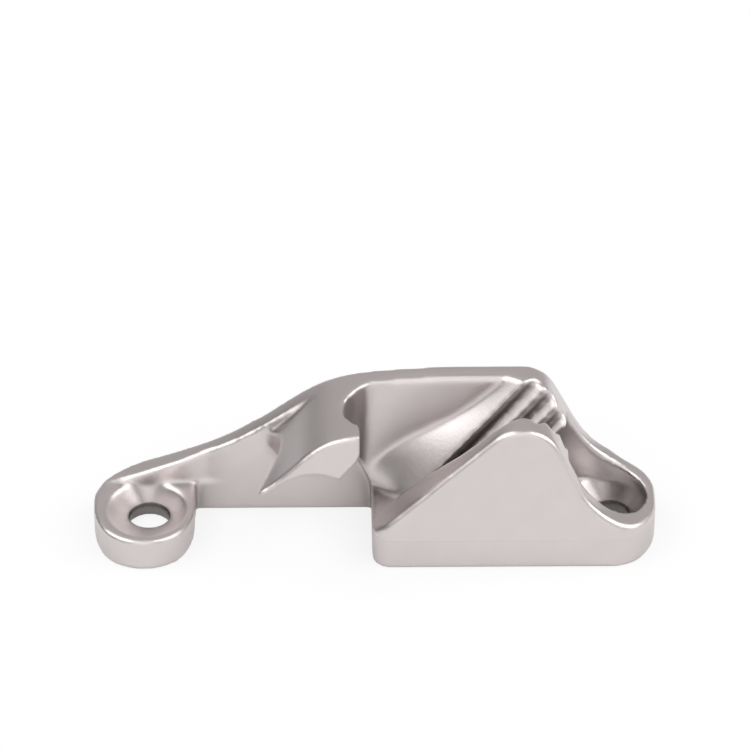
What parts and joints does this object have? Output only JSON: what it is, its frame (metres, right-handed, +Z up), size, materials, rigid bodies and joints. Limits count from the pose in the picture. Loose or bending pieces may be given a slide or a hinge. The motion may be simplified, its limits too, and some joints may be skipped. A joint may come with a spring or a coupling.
{
  "type": "jam cleat",
  "caption": "Side-entry jam cleat for rope: a cast body with a toothed V channel, a keeper arm over the rope lead and a countersunk screw hole in the lug at each end.",
  "frame": {"origin": "midway between the two screw holes, on the flat base", "axes": "+X along the cleat from the keeper arm to the toothed jaws, +Y from the open side to the back wall, +Z up from the deck"},
  "size_m": [0.0823, 0.019, 0.0236],
  "materials": {
    "cast_aluminium": "satin"
  },
  "bodies": {
    "root": {"cleat_body": "cast_aluminium"}
  },
  "joints": []
}
